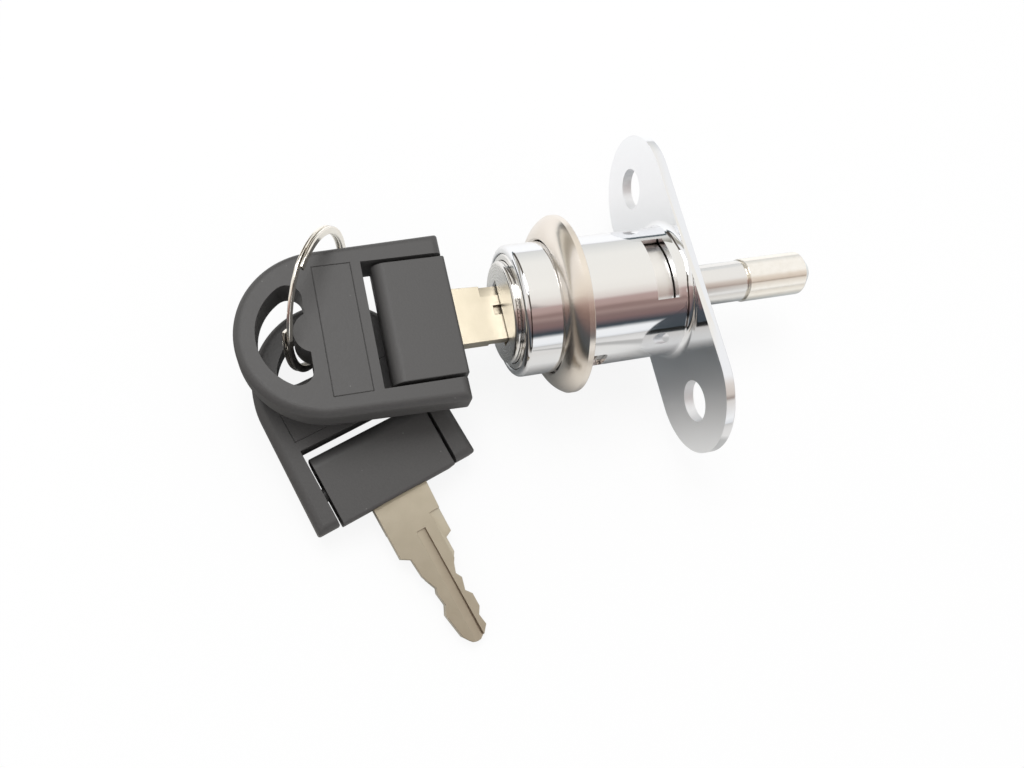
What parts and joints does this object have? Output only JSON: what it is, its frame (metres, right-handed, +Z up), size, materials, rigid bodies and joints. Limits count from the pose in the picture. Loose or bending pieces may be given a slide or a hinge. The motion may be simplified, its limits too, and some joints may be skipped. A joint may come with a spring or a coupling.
{
  "type": "cabinet lock",
  "caption": "Push lock for a sliding cabinet door, with a two-hole fixing plate, a loose trim ring, a sprung plunger and two folding keys on a split ring.",
  "frame": {"origin": "on the lock's axis, in the face of the fixing plate that lies on the door", "axes": "+Y along the lock towards the plunger's tip, +X along the fixing plate, +Z up from the floor that the loose part lies on"},
  "size_m": [0.0689, 0.0866, 0.0258],
  "materials": {
    "chrome_plate": "bright chrome plating on die-cast zinc",
    "satin_nickel": "satin nickel plating, softly blurred",
    "plated_zinc": "nickel-plated die-cast zinc, fine machining marks",
    "spring_steel": "drawn steel wire",
    "polished_steel": "polished nickel-plated steel",
    "wafer_brass": "stamped brass",
    "black_plastic": "black moulded plastic with a fine spark texture",
    "nickel_silver": "stamped nickel silver, tumbled"
  },
  "bodies": {
    "housing": {"housing": "chrome_plate", "return_spring_left": "spring_steel", "return_spring_right": "spring_steel"},
    "trim_ring": {"trim_ring": "satin_nickel"},
    "barrel": {"barrel": "plated_zinc", "plunger": "chrome_plate", "latch_spring": "spring_steel"},
    "plug": {"plug": "plated_zinc", "plug_clip": "spring_steel", "wafer_springs": "spring_steel"},
    "latch": {"latch": "plated_zinc"},
    "wafer_1": {"wafer_1": "wafer_brass"},
    "wafer_2": {"wafer_2": "wafer_brass"},
    "wafer_3": {"wafer_3": "wafer_brass"},
    "wafer_4": {"wafer_4": "wafer_brass"},
    "wafer_5": {"wafer_5": "wafer_brass"},
    "key_1": {"key_1_blade": "nickel_silver", "key_1_block": "black_plastic"},
    "key_1_head": {"key_1_head": "black_plastic"},
    "split_ring": {"split_ring": "polished_steel"},
    "key_2_head": {"key_2_head": "black_plastic"},
    "key_2": {"key_2_blade": "nickel_silver", "key_2_block": "black_plastic"}
  },
  "joints": [
    {"name": "trim_ring_slide", "type": "slide", "parent": "housing", "child": "trim_ring", "axis": [0, 1, 0], "range_m": [-0.0045, 0.008]},
    {"name": "barrel_push", "type": "slide", "parent": "housing", "child": "barrel", "axis": [0, 1, 0], "range_m": [-0.006, 0], "deforming": ["return_spring_left", "return_spring_right"]},
    {"name": "plug_turn", "type": "hinge", "parent": "barrel", "child": "plug", "pos_m": [0, 0, 0], "axis": [0, 1, 0], "range_deg": [0, 90]},
    {"name": "latch_slide", "type": "slide", "parent": "barrel", "child": "latch", "axis": [0, 0, 1], "range_m": [0, 0.0011], "deforming": ["latch_spring"]},
    {"name": "wafer_1_slide", "type": "slide", "parent": "plug", "child": "wafer_1", "axis": [1, 0, 0], "range_m": [-0.00054, 0], "deforming": ["wafer_springs"]},
    {"name": "wafer_2_slide", "type": "slide", "parent": "plug", "child": "wafer_2", "axis": [-1, 0, 0], "range_m": [-0.00097, 0], "deforming": ["wafer_springs"]},
    {"name": "wafer_3_slide", "type": "slide", "parent": "plug", "child": "wafer_3", "axis": [1, 0, 0], "range_m": [-0.00053, 0], "deforming": ["wafer_springs"]},
    {"name": "wafer_4_slide", "type": "slide", "parent": "plug", "child": "wafer_4", "axis": [-1, 0, 0], "range_m": [-0.0007, 0], "deforming": ["wafer_springs"]},
    {"name": "wafer_5_slide", "type": "slide", "parent": "plug", "child": "wafer_5", "axis": [1, 0, 0], "range_m": [-0.00104, 0], "deforming": ["wafer_springs"]},
    {"name": "key_1_withdraw", "type": "slide", "parent": "plug", "child": "key_1", "axis": [0, 1, 0], "range_m": [-0.025, 0]},
    {"name": "key_1_fold", "type": "hinge", "parent": "key_1", "child": "key_1_head", "pos_m": [0, -0.03725, 0], "axis": [1, 0, 0], "range_deg": [-90, 40]},
    {"name": "ring_turn", "type": "hinge", "parent": "key_1_head", "child": "split_ring", "pos_m": [-0.00623, -0.05059, -0.00119], "axis": [0.4629, 0.8658, 0.19], "range_deg": [-3, 8]},
    {"name": "key_2_swing", "type": "hinge", "parent": "split_ring", "child": "key_2_head", "pos_m": [-0.00623, -0.05059, -0.00119], "axis": [0.4629, 0.8658, 0.19], "range_deg": [-3, 8]},
    {"name": "key_2_fold", "type": "hinge", "parent": "key_2_head", "child": "key_2", "pos_m": [0.01694, -0.04513, -0.00926], "axis": [0.3201, -0.9474, 0], "range_deg": [-90, 90]}
  ],
  "couplings": [
    {"joint": "plug_turn", "follows": "latch_slide", "rad_per_m": 1427.9}
  ]
}
